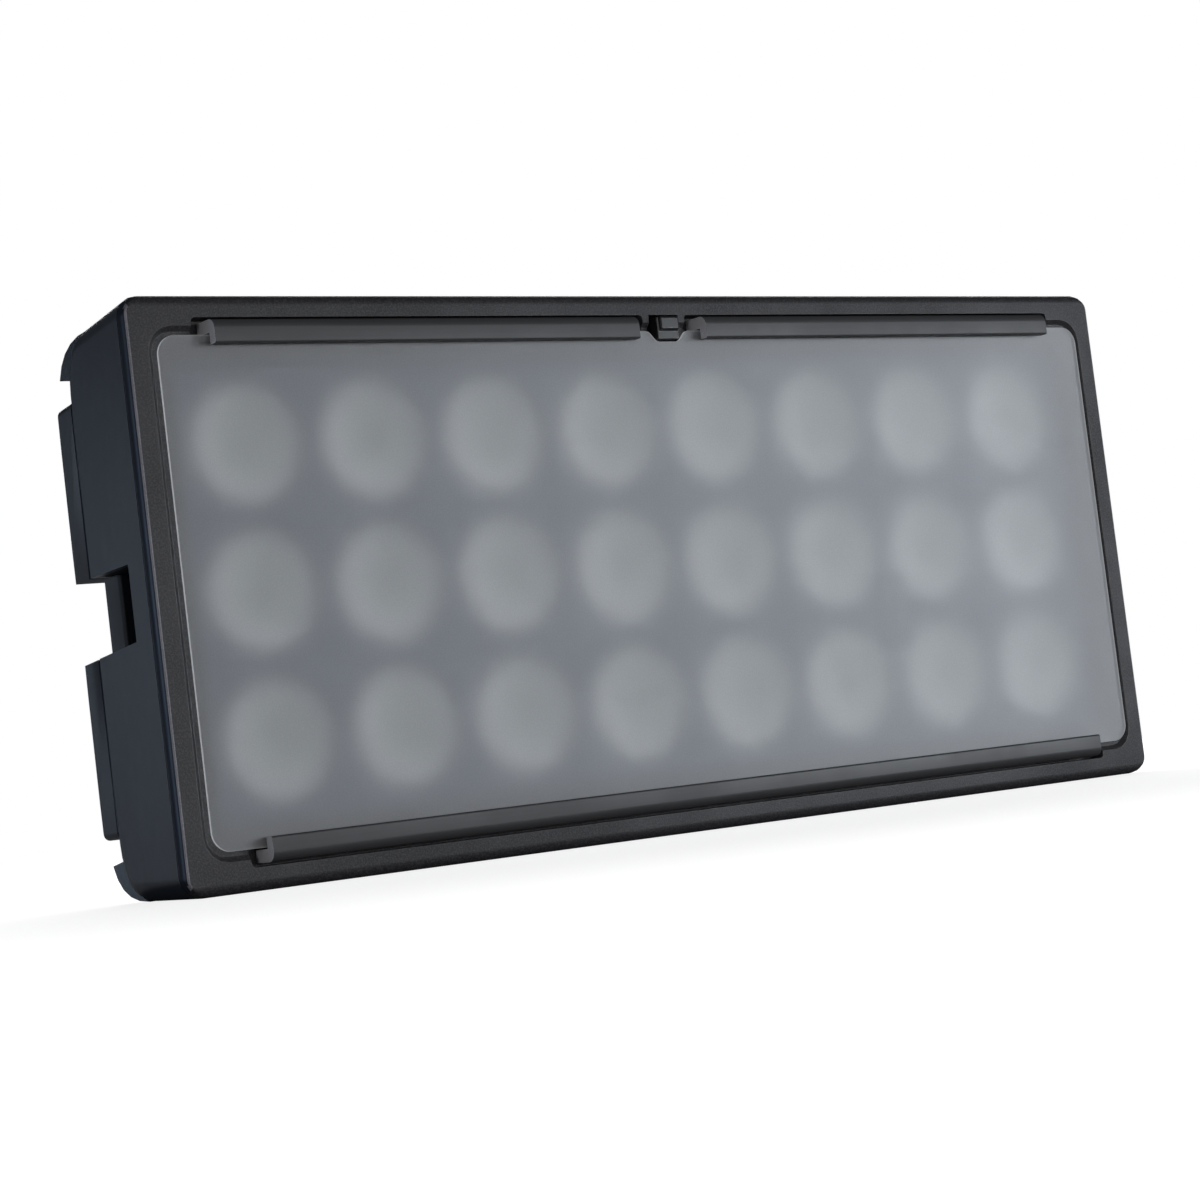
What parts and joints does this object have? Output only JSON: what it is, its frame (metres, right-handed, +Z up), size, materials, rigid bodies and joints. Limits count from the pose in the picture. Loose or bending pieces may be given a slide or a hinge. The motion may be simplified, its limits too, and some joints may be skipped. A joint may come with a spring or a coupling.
{
  "type": "matrix stage light",
  "caption": "Flat rectangular stage wash light with a lamp matrix behind a frosted slide-in diffuser in a dark bezel, side bars and a rear cover with fans and sockets.",
  "frame": {"origin": "centre of the bottom of the bounding box, on the surface the light stands on", "axes": "+Z up, +Y from the front bezel to the rear cover, +X to the right seen from the front"},
  "size_m": [0.65, 0.1534, 0.2912],
  "materials": {
    "bezel_texture": "dark warm grey, fine moulded texture",
    "rail_metal": "dark anodised, satin",
    "frosted_sheet": "frosted translucent sheet",
    "latch_plastic": "satin moulded plastic",
    "spring_steel": "bright wire and screws",
    "mask_plastic": "matt dark grey",
    "lens_clear": "clear moulded lens",
    "circuit_board": "coated circuit board",
    "sink_aluminium": "plain extruded",
    "housing_plastic": "smooth satin dark blue grey",
    "bar_metal": "satin dark paint",
    "fan_plastic": "black moulded plastic",
    "supply_case": "folded sheet case",
    "panel_plastic": "satin black",
    "display_pane": "dark glossy pane",
    "key_plastic": "soft dark grey",
    "socket_plastic": "black moulded plastic"
  },
  "bodies": {
    "case": {"front_bezel": "bezel_texture", "rail_top_left": "rail_metal", "rail_top_right": "rail_metal", "rail_bottom": "rail_metal", "diffuser_panel": "frosted_sheet", "latch_spring": "spring_steel", "latch_guide": "latch_plastic", "lens_mask": "mask_plastic", "lens_column_1": "lens_clear", "lamp_board_1": "circuit_board", "lens_column_2": "lens_clear", "lamp_board_2": "circuit_board", "lens_column_3": "lens_clear", "lamp_board_3": "circuit_board", "lens_column_4": "lens_clear", "lamp_board_4": "circuit_board", "lens_column_5": "lens_clear", "lamp_board_5": "circuit_board", "lens_column_6": "lens_clear", "lamp_board_6": "circuit_board", "lens_column_7": "lens_clear", "lamp_board_7": "circuit_board", "lens_column_8": "lens_clear", "lamp_board_8": "circuit_board", "heat_sink": "sink_aluminium", "main_housing": "housing_plastic", "side_pocket_left": "housing_plastic", "side_bar_left": "bar_metal", "side_pocket_right": "housing_plastic", "side_bar_right": "bar_metal", "rear_cover": "housing_plastic", "rear_rail_top": "housing_plastic", "rear_rail_bottom": "housing_plastic", "fan_frame_1": "fan_plastic", "fan_guard_1": "spring_steel", "fan_frame_2": "fan_plastic", "fan_guard_2": "spring_steel", "fan_frame_3": "fan_plastic", "fan_guard_3": "spring_steel", "power_supply": "supply_case", "control_board": "circuit_board", "control_panel": "panel_plastic", "display_pane": "display_pane", "power_inlet": "socket_plastic", "power_outlet": "socket_plastic", "data_inlet": "socket_plastic", "data_outlet": "socket_plastic", "cover_screw_1": "spring_steel", "cover_screw_2": "spring_steel", "cover_screw_3": "spring_steel", "cover_screw_4": "spring_steel"},
    "latch": {"latch_button": "latch_plastic"},
    "key_1": {"menu_key_1": "key_plastic"},
    "key_2": {"menu_key_2": "key_plastic"},
    "key_3": {"menu_key_3": "key_plastic"},
    "key_4": {"menu_key_4": "key_plastic"},
    "rotor_1": {"fan_rotor_1": "fan_plastic"},
    "rotor_2": {"fan_rotor_2": "fan_plastic"},
    "rotor_3": {"fan_rotor_3": "fan_plastic"}
  },
  "joints": [
    {"name": "latch_press", "type": "slide", "parent": "case", "child": "latch", "axis": [0, 1, 0], "range_m": [0, 0.005], "stiffness_N_per_m": 400, "deforming": ["latch_spring"]},
    {"name": "key_1_press", "type": "slide", "parent": "case", "child": "key_1", "axis": [0, -1, 0], "range_m": [0, 0.0012], "stiffness_N_per_m": 1500},
    {"name": "key_2_press", "type": "slide", "parent": "case", "child": "key_2", "axis": [0, -1, 0], "range_m": [0, 0.0012], "stiffness_N_per_m": 1500},
    {"name": "key_3_press", "type": "slide", "parent": "case", "child": "key_3", "axis": [0, -1, 0], "range_m": [0, 0.0012], "stiffness_N_per_m": 1500},
    {"name": "key_4_press", "type": "slide", "parent": "case", "child": "key_4", "axis": [0, -1, 0], "range_m": [0, 0.0012], "stiffness_N_per_m": 1500},
    {"name": "fan_1_spin", "type": "hinge", "parent": "case", "child": "rotor_1", "pos_m": [-0.15, 0.0593, 0.1976], "axis": [0, 1, 0], "continuous": true},
    {"name": "fan_2_spin", "type": "hinge", "parent": "case", "child": "rotor_2", "pos_m": [0, 0.0593, 0.1976], "axis": [0, 1, 0], "continuous": true},
    {"name": "fan_3_spin", "type": "hinge", "parent": "case", "child": "rotor_3", "pos_m": [0.15, 0.0593, 0.1976], "axis": [0, 1, 0], "continuous": true}
  ]
}
